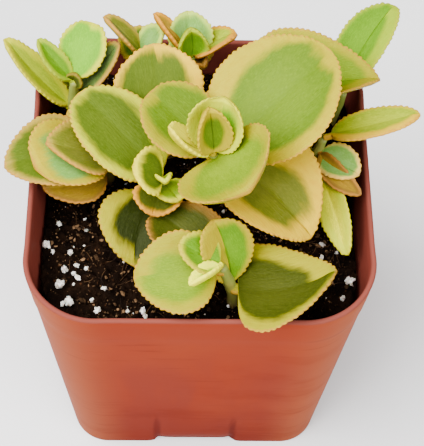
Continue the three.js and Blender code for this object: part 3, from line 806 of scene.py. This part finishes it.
class STONECROP_OT_mix(Operator):
    """Scatter the loose crumbs, fibres and white perlite that lie on the soil"""
    bl_idname = "stonecrop.mix"
    bl_label = "Crumbs, fibres and perlite"

    def execute(self, context):
        settings = context.scene.stonecrop_soil
        chance = random.Random(7)

        def spot(margin):
            half, corner = soil_edge(SOIL_LEVEL - SOIL_HOLLOW)[0] - margin, soil_edge(SOIL_LEVEL)[1]
            point = spread(chance.uniform(-1, 1), chance.uniform(-1, 1), half, corner)
            return point.x, point.y

        def lump(bm, x, y, radius, sunk, detail, rough, flat=0.75, layer=None, chip=0):
            seat = POT_CENTRE + Vector((x, y, soil_height(x, y) + sunk * radius)) * MM
            turn = Euler([chance.uniform(0, math.tau) for _ in range(3)]).to_matrix().to_4x4()
            size = [radius * MM * chance.uniform(flat, 1.15) for _ in range(3)]
            verts = bmesh.ops.create_icosphere(bm, subdivisions=detail, radius=1)["verts"]
            seed = Vector((chance.uniform(0, 90), 0, 0))
            for vert in verts:
                vert.co *= 1 + rough * noise.noise(vert.co * LUMP_DENTS + seed)
                if layer:
                    vert[layer] = chip
            bmesh.ops.transform(bm, verts=verts,
                                matrix=Matrix.Translation(seat) @ turn @ Matrix.Diagonal((*size, 1)))

        def crumb(bm, number, layer):
            x, y = spot(CRUMB_MARGIN)
            radius = CRUMB_LEAST + CRUMB_SPREAD * chance.random() ** 4
            lump(bm, x, y, radius, 0.5, 1, 1.2, 0.35, layer, chance.random() ** 4)

        crumbs = heaped(settings.grains, crumb, "chip")
        finished("soil_crumbs", crumbs, earth("loose crumbs", settings), smooth_faces=False)

        def grain(bm, number, layer):
            if number < len(PERLITE):
                x, y, radius = PERLITE[number]
                lump(bm, x, y, radius * LUMP_SHARE, 0.4, 3, 0.8)
            else:
                x, y = spot(CRUMB_MARGIN)
                lump(bm, x, y, SPECK_LEAST + SPECK_SPREAD * chance.random() ** 2, 0.7, 2, 0.9)

        white = heaped(len(PERLITE) + settings.specks, grain)
        finished("perlite", white, perlite(settings))

        def thread(bm, number, layer):
            x, y = spot(FIBRE_MARGIN)
            heading = chance.uniform(0, math.tau)
            length = chance.uniform(*FIBRE_LENGTHS)
            bend = chance.uniform(*FIBRE_BENDS)
            thick = chance.uniform(*FIBRE_THICKNESSES)
            lift = chance.uniform(*FIBRE_LIFTS)

            def along(vert, row, turn):
                t = row / FIBRE_ROWS - 0.5
                way = heading + bend * t * 2
                px, py = x + length * t * math.cos(way), y + length * t * math.sin(way)
                around = math.tau * turn
                side = thick * math.cos(around) * (1 - abs(t))
                px, py = px - side * math.sin(way), py + side * math.cos(way)
                pz = soil_height(x, y) + lift + FIBRE_CURL * math.sin(6 * t) + thick * math.sin(around)
                return POT_CENTRE + Vector((px, py, pz)) * MM

            rolled(bm, FIBRE_ROWS, FIBRE_SIDES, along)

        threads = heaped(settings.fibres, thread)
        finished("soil_fibres", threads, fibre())
        return {"FINISHED"}


def perlite(settings):
    look = Finish("perlite")
    pores = look.clouds((2200, 2200, 2200), detail=3)
    colour = look.mixed(look.ranged(pores, 0.35, 0.7), tone("pore"), settings.white[:])
    dirt = look.clouds((700, 700, 700), detail=3)
    colour = look.mixed(look.ranged(dirt, 0.52, 0.75), colour, tone("dirt"))
    bump = look.bump(pores, 0.2 * MM, 0.8)
    return look.surface({"Base Color": colour, "Roughness": 0.85, "Normal": bump, "Subsurface Weight": 0.1,
                         "Subsurface Scale": 0.001})


def fibre():
    look = Finish("peat fibre")
    lengths = look.clouds((300, 300, 300), detail=2)
    colour = look.mixed(look.ranged(lengths, 0.35, 0.65), tone("dark fibre"), tone("pale fibre"))
    grain = look.clouds((3000, 3000, 3000), detail=2)
    return look.surface({"Base Color": colour, "Roughness": 0.85, "Normal": look.bump(grain, 0.05 * MM),
                         "Specular IOR Level": 0.1})


# The stems
def stem_place(points, height):
    """The place on a stem's middle line at a height, in millimetres."""
    last = next((i for i, point in enumerate(points) if i and point[2] >= height), len(points) - 1)
    low, high = Vector(points[last - 1]), Vector(points[last])
    return low.lerp(high, (height - low.z) / (high.z - low.z))


class STONECROP_OT_stems(Operator):
    """Make the stems, thickened at each pair of leaves"""
    bl_idname = "stonecrop.stems"
    bl_label = "Stems"

    def execute(self, context):
        settings = context.scene.stonecrop_stem
        look = bark(settings)
        for name, (points, leaves) in SHOOTS.items():
            foot, top = points[0][2], points[-1][2]
            knots = sorted({each["at"] for each in leaves})

            def place(vert, row, turn, points=points, foot=foot, top=top, knots=knots):
                height = mix(foot, top, row / STEM_ROWS)
                ends = [clamp(height + step, foot, top) for step in (-STEM_EASE, 0, STEM_EASE)]
                middle = sum((stem_place(points, z) for z in ends), Vector()) / 3
                radius = settings.radius / MM * (1 - STEM_THINNING * smooth(height, STEM_THINS_FROM, top))
                swell = max(math.exp(-((height - knot) / KNOT_HALF) ** 2) for knot in knots)
                radius *= 1 + KNOT_SWELL * swell * smooth(height, *KNOT_BAND)
                radius *= 1 - 0.7 * smooth(row, STEM_ROWS - 1, STEM_ROWS)
                angle = math.tau * turn
                side = Vector((math.cos(angle), math.sin(angle), 0)) * radius
                return POT_CENTRE + (middle + side) * MM

            bm = bmesh.new()
            rolled(bm, STEM_ROWS, STEM_SIDES, place)
            finished(name + "_stem", bm, look)
        return {"FINISHED"}


def bark(settings):
    look = Finish("fleshy stem")
    place = look.add("TexCoord", output="Object")
    height = look.add("SeparateXYZ", {"Vector": place}, 2)
    spots = look.clouds((500, 500, 200), detail=3)
    old = look.maths("ADD", height, look.scaled(spots, STEM_PATCHY * MM))
    old = look.ranged(old, STEM_GREEN_FROM * MM, STEM_BROWN_TO * MM)
    colour = look.mixed(old, settings.green[:], settings.brown[:])
    colour = look.mixed(look.scaled(look.ranged(spots, 0.4, 0.7), 0.4), colour, tone("scar"))
    grain = look.clouds((1800, 1800, 700), detail=3)
    return look.surface({"Base Color": colour, "Roughness": 0.6, "Normal": look.bump(grain, 0.1 * MM)})


# The leaves
VALUES = ("edge", "inside", "rim", "under", "midrib")


def blade_half(t, each):
    """Half the blade's width at t, from 0 at its base to 1 at its tip."""
    along = clamp((t - STALK_SHARE) / (1 - STALK_SHARE))
    widest = each["taper"] / (each["taper"] + each["blunt"])
    blade = (along / widest) ** each["taper"] * ((1 - along) / (1 - widest)) ** each["blunt"]
    stalk = STALK_WIDTH * clamp(1 - t / STALK_FADE)
    least = STALK_LEAST if t < 2 * STALK_SHARE else TIP_LEAST
    return max(blade * each["width"] / 2, stalk * each["width"] / 2, least)


def margin_walk(each):
    """Steps of equal length along a blade's margin: the list of t, and the margin's length."""
    samples = [i / ARC_SAMPLES for i in range(ARC_SAMPLES + 1)]
    walked = [0.0]
    for before, now in zip(samples, samples[1:]):
        rise = blade_half(now, each) - blade_half(before, each)
        walked.append(walked[-1] + math.hypot(rise, each["length"] * (now - before)))
    rows = max(ROWS_LEAST, round(walked[-1] / ROW_STEP))
    steps, i = [], 0
    for row in range(rows + 1):
        target = walked[-1] * row / rows
        while i < ARC_SAMPLES - 1 and walked[i + 1] < target:
            i += 1
        part = (target - walked[i]) / (walked[i + 1] - walked[i])
        steps.append(clamp((i + part) / ARC_SAMPLES))
    return steps, walked[-1]


def tooth_height(phase):
    """A rounded tooth that leans forward: 0 in the notch and 1 at its top."""
    part = phase % 1.0
    return math.sin(math.pi / 2 * min(part / TOOTH_LEAN, (1 - part) / (1 - TOOTH_LEAN)))


def grow_blade(bm, layers, points, each, settings, seed):
    """Adds one closed leaf to a bmesh, bent as its solid is, with toothed margins."""
    base = stem_place(points, each["at"])
    level = math.cos(math.radians(each["rise"]))
    bearing = math.radians(each["bearing"])
    rise = math.sin(math.radians(each["rise"]))
    along = Vector((level * math.cos(bearing), level * math.sin(bearing), rise))
    up = Vector((0, 0, 1)) - along * along.z
    up = Matrix.Rotation(-math.radians(each["roll"]), 3, along) @ up.normalized()
    across = up.cross(along)
    length = each["length"]
    middle = min(BLADE_MIDDLE, SMALL_MIDDLE + MIDDLE_PER_WIDTH * each["width"])
    steps, margin_length = margin_walk(each)
    rows = len(steps) - 1
    depth = settings.tooth / MM * clamp(each["width"] / TEETH_FULL, 0.5, 1)
    pitch = settings.pitch / MM
    centre, margin = (tone(name) for name in each["tint"].split())
    left_base, left_tip, right_base, right_tip = each["bands"]
    soft = clamp(SOFT_PER_WIDTH * each["width"], SOFT_LEAST, SOFT_MOST)
    shift = Vector((seed * 7.3, seed * 3.1, 0))

    def place(vert, row, turn):
        t = steps[row]
        angle = math.tau * turn - CROWDING * math.sin(4 * math.tau * turn)
        u, face = math.cos(angle), math.sin(angle)
        side, reach_share = math.copysign(1, u), abs(u)
        half = blade_half(t, each)
        edge = min(half * (1 - reach_share), 0.8 * (1 - t) * length)
        walked = margin_length * row / rows
        uneven = TOOTH_USUAL + TOOTH_UNEVEN * noise.noise(Vector((walked * 0.9, side * 9, 0)) + shift)
        grown = smooth(t, STALK_SHARE, 3 * STALK_SHARE) * smooth(1 - t, 0, 0.03)
        tooth = depth * grown * uneven * tooth_height(walked / pitch + side * TEETH_APART) * reach_share ** 8
        ahead = blade_half(clamp(t + SLOPE_STEP), each) - blade_half(clamp(t - SLOPE_STEP), each)
        slope = math.atan2(ahead, 2 * SLOPE_STEP * length)
        reach = half * reach_share + tooth * math.cos(slope)
        forward = length * t - tooth * math.sin(slope)
        lift = math.radians(each["fold"] + each["cup"] * reach_share / 2)
        bow = 4 * length * t * (1 - t)
        thick = mix(middle, BLADE_MARGIN, u * u) / 2 * math.tanh(ROUNDNESS * face) / math.tanh(ROUNDNESS)
        thick *= mix(0.45, 1, smooth(1 - t, 0, 0.08))
        waved = Vector((t * length * RIPPLE_ALONG, u * RIPPLE_ACROSS, 3)) + shift
        ripple = RIPPLE * noise.noise(waved) * reach_share ** 2
        crease = settings.crease / MM * math.exp(-(half * u / MIDRIB_WIDTH) ** 2) * smooth(t, 0.05, 0.2)
        crease *= smooth(1 - t, 0, 0.15) * clamp(each["width"] / MIDRIB_FULL, 0.3, 1)
        point = base + along * forward
        point += across * (reach * math.cos(lift) * side + each["sweep"] * bow)
        point += up * (reach * math.sin(lift) + each["arch"] * bow + ripple * smooth(t, 0.1, 0.3) - crease)
        point += (up * math.cos(lift) - across * math.sin(lift) * side) * thick
        vert[layers["edge"]] = edge
        vert[layers["rim"]] = each["rim"]
        band = mix(left_base, left_tip, t) if u > 0 else mix(right_base, right_tip, t)
        vert[layers["inside"]] = (edge - band) / soft
        vert[layers["under"]] = smooth(-face, 0.2, 0.6)
        tinted = clamp(each["width"] / MIDRIB_FULL, 0.2, 1)
        vert[layers["midrib"]] = math.exp(-abs(half * u) / MIDRIB_TINT) * tinted
        vert[layers["centre"]] = (*centre, 1)
        vert[layers["margin"]] = (*margin, 1)
        vert[layers["spot"]] = Vector((half * u, t * length, 0)) + shift * 10
        point = POT_CENTRE + point * MM
        point.z = min(point.z, CAD_BOX[1][2])
        return point

    rolled(bm, rows, BLADE_SIDES, place)


class STONECROP_OT_leaves(Operator):
    """Make the toothed, variegated leaves of each stem"""
    bl_idname = "stonecrop.leaves"
    bl_label = "Leaves"

    def execute(self, context):
        settings = context.scene.stonecrop_leaf
        look = leaf_skin(settings)
        seed = 0
        for name, (points, leaves) in SHOOTS.items():
            bm = bmesh.new()
            layers = {each: bm.verts.layers.float.new(each) for each in VALUES}
            layers.update({each: bm.verts.layers.float_color.new(each) for each in ("centre", "margin")})
            layers["spot"] = bm.verts.layers.float_vector.new("spot")
            for each in leaves:
                seed += 1
                grow_blade(bm, layers, points, each, settings, seed)
            finished(name + "_leaves", bm, look, replaces=[name])
        return {"FINISHED"}


def leaf_skin(settings):
    """Green in the middle, cream to yellow towards the margin, tan at the teeth."""
    look = Finish("variegated leaf")
    spot = look.attribute("spot", "Vector")

    def pattern(scale, detail=3.0, roughness=0.55):
        return look.clouds(scale, detail, roughness, spot)

    inside, edge = look.attribute("inside"), look.attribute("edge")
    streak = pattern((1.6, 0.35, 1), 4, 0.6)
    wander = pattern((0.4, 0.25, 1), 2)
    mottle = pattern((1.1, 0.7, 1), 3)
    speckle = pattern((6, 4, 1), 2)
    hairs = pattern((9, 1.6, 1), 2)
    ragged = look.maths("ADD", look.ranged(streak, 0.2, 0.8, -0.25, 0.25),
                        look.ranged(wander, 0.25, 0.75, -0.3, 0.3))
    depth = look.maths("ADD", inside, ragged)
    green = look.ranged(depth, -1.3, 0.75)
    centre, margin = look.attribute("centre", "Color"), look.attribute("margin", "Color")
    darker = look.tinted(centre, (0.78, 0.84, 0.6))
    paler = look.mixed(0.03, look.tinted(centre, (1.5, 1.45, 1.6)), settings.bloom[:])
    milky = look.ranged(look.maths("ADD", depth, look.ranged(mottle, 0.25, 0.75, -1.6, 1.6)), 0.6, 4.5)
    flesh = look.mixed(milky, darker, centre)
    flesh = look.mixed(look.scaled(look.ranged(hairs, 0.45, 0.75), 0.5), flesh, paler)
    flesh = look.mixed(look.scaled(look.ranged(speckle, 0.6, 0.72), 0.6), flesh, paler)
    flesh = look.mixed(look.scaled(look.attribute("midrib"), 0.25), flesh, darker)
    warm = look.tinted(margin, (0.97, 0.9, 0.75))
    cream = look.mixed(look.ranged(mottle, 0.4, 0.75), margin, warm)
    colour = look.mixed(green, cream, flesh)
    toothed = look.maths("ADD", edge, look.ranged(streak, 0.2, 0.8, -0.2, 0.2))
    rim = look.scaled(look.ranged(toothed, 0.45, 0.0), look.attribute("rim"))
    colour = look.mixed(rim, colour, settings.edge[:])
    below = look.tinted(colour, (0.72, 0.7, 0.5))
    colour = look.mixed(look.attribute("under"), colour, below)
    veins = pattern((2.4, 0.5, 1), 3)
    bump = look.bump(veins, 0.16 * MM, 0.6, look.bump(hairs, 0.03 * MM, 0.7))
    gloss = look.ranged(mottle, 0.3, 0.7, settings.roughness - 0.06, settings.roughness + 0.08)
    return look.surface({
        "Base Color": colour, "Roughness": gloss, "Normal": bump, "Specular IOR Level": 0.07,
        "Specular Tint": (0.95, 1.0, 0.55, 1.0), "Subsurface Weight": 0.1,
        "Subsurface Scale": 0.001, "Subsurface Radius": (1.0, 0.8, 0.2)})


# The stage
def aim(thing, place, target):
    thing.location = place
    thing.rotation_euler = (Vector(target) - Vector(place)).to_track_quat("-Z", "Y").to_euler()


class STONECROP_OT_stage(Operator):
    """Make the pale floor, the soft lights and the camera of the photograph"""
    bl_idname = "stonecrop.stage"
    bl_label = "Stage"

    def execute(self, context):
        settings = context.scene.stonecrop_stage
        scene = context.scene
        bm = bmesh.new()
        bmesh.ops.create_grid(bm, x_segments=1, y_segments=1, size=3)
        mesh = bpy.data.meshes.new("floor")
        bm.to_mesh(mesh)
        bm.free()
        look = Finish("pale floor")
        dust = look.clouds((9, 9, 9))
        pale = look.mixed(look.scaled(dust, 0.04), settings.floor[:], (0.5, 0.5, 0.5))
        mesh.materials.append(look.surface({"Base Color": pale, "Roughness": 0.8}))
        floor = bpy.data.objects.new("floor", mesh)
        scene.collection.objects.link(floor)

        world = bpy.data.worlds.new("studio")
        world.use_nodes = True
        sky = world.node_tree.nodes["Background"]
        sky.inputs["Color"].default_value = (1, 1, 1, 1)
        sky.inputs["Strength"].default_value = settings.sky
        scene.world = world
        lights = (
            ("key", settings.key, 0.6, (-0.28, -0.12, 0.6)),
            ("fill", settings.fill, 0.5, (0.35, -0.4, 0.5)),
        )
        for name, power, size, place in lights:
            light = bpy.data.lights.new(name, "AREA")
            light.energy = power
            light.size = size
            lamp = bpy.data.objects.new(name, light)
            aim(lamp, place, (0, 0, 0.05))
            scene.collection.objects.link(lamp)

        camera = bpy.data.objects.new("camera", bpy.data.cameras.new("camera"))
        camera.data.sensor_width = SENSOR
        camera.data.lens = FOCAL_PIXELS * SENSOR / PHOTO_HEIGHT
        camera.data.clip_start = 0.01
        ahead = Vector((0, math.cos(CAMERA_ELEVATION), -math.sin(CAMERA_ELEVATION)))
        above = Vector((0, math.sin(CAMERA_ELEVATION), math.cos(CAMERA_ELEVATION)))
        right = Vector((1, 0, 0))
        place = CAMERA_RIGHT * right + CAMERA_UP * above - CAMERA_DISTANCE * ahead
        yaw = Matrix.Rotation(-CAMERA_YAW, 3, "Z")
        up = above * math.cos(CAMERA_ROLL) - right * math.sin(CAMERA_ROLL)
        side = right * math.cos(CAMERA_ROLL) + above * math.sin(CAMERA_ROLL)
        turned = Matrix((yaw @ side, yaw @ up, yaw @ -ahead)).transposed().to_4x4()
        camera.matrix_world = Matrix.Translation(POT_CENTRE + yaw @ place * MM) @ turned
        scene.collection.objects.link(camera)
        scene.camera = camera
        return {"FINISHED"}


class STONECROP_PT_panel(Panel):
    bl_label = "Stonecrop"
    bl_idname = "STONECROP_PT_panel"
    bl_space_type = "VIEW_3D"
    bl_region_type = "UI"
    bl_category = "Stonecrop"

    def draw(self, context):
        for operator in OPERATORS:
            self.layout.operator(operator.bl_idname)
        for name in SETTINGS:
            box = self.layout.box()
            group = getattr(context.scene, name)
            for key in group.__annotations__:
                box.prop(group, key)


SETTINGS = {
    "stonecrop_pot": PotSettings, "stonecrop_soil": SoilSettings, "stonecrop_leaf": LeafSettings,
    "stonecrop_stem": StemSettings, "stonecrop_stage": StageSettings,
}
OPERATORS = (
    STONECROP_OT_stage, STONECROP_OT_pot, STONECROP_OT_soil, STONECROP_OT_mix, STONECROP_OT_stems,
    STONECROP_OT_leaves,
)


def register():
    for kind in (*SETTINGS.values(), *OPERATORS, STONECROP_PT_panel):
        bpy.utils.register_class(kind)
    for name, kind in SETTINGS.items():
        setattr(bpy.types.Scene, name, PointerProperty(type=kind))


def unregister():
    for name in SETTINGS:
        delattr(bpy.types.Scene, name)
    for kind in (STONECROP_PT_panel, *reversed(OPERATORS), *reversed(SETTINGS.values())):
        bpy.utils.unregister_class(kind)


def main():
    register()
    bpy.ops.stonecrop.stage()
    bpy.ops.stonecrop.pot()
    bpy.ops.stonecrop.soil()
    bpy.ops.stonecrop.mix()
    bpy.ops.stonecrop.stems()
    bpy.ops.stonecrop.leaves()


if __name__ == "__main__":
    main()
